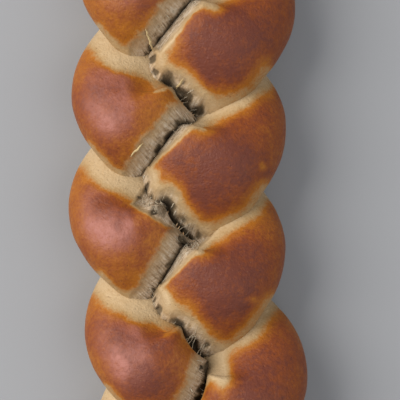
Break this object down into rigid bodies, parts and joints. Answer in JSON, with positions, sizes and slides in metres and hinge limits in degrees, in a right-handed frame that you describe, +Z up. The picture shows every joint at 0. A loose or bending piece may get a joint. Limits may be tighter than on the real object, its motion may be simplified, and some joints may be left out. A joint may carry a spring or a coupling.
{
  "type": "braided loaf",
  "caption": "Long plaited bread loaf with plump overlapping lobes, ragged tears between them, pinched ends and a flat base.",
  "frame": {"origin": "middle of the loaf's flat base, on the surface that it rests on", "axes": "+Y along the loaf, +X across it, +Z up out of its top"},
  "size_m": [0.1128, 0.3722, 0.0482],
  "materials": {
    "crust": "baked crust, browned on the crowns, golden in the folds, pale torn crumb where the ropes pulled apart; soft satin sheen"
  },
  "bodies": {
    "root": {"braided_loaf": "crust"}
  },
  "joints": []
}
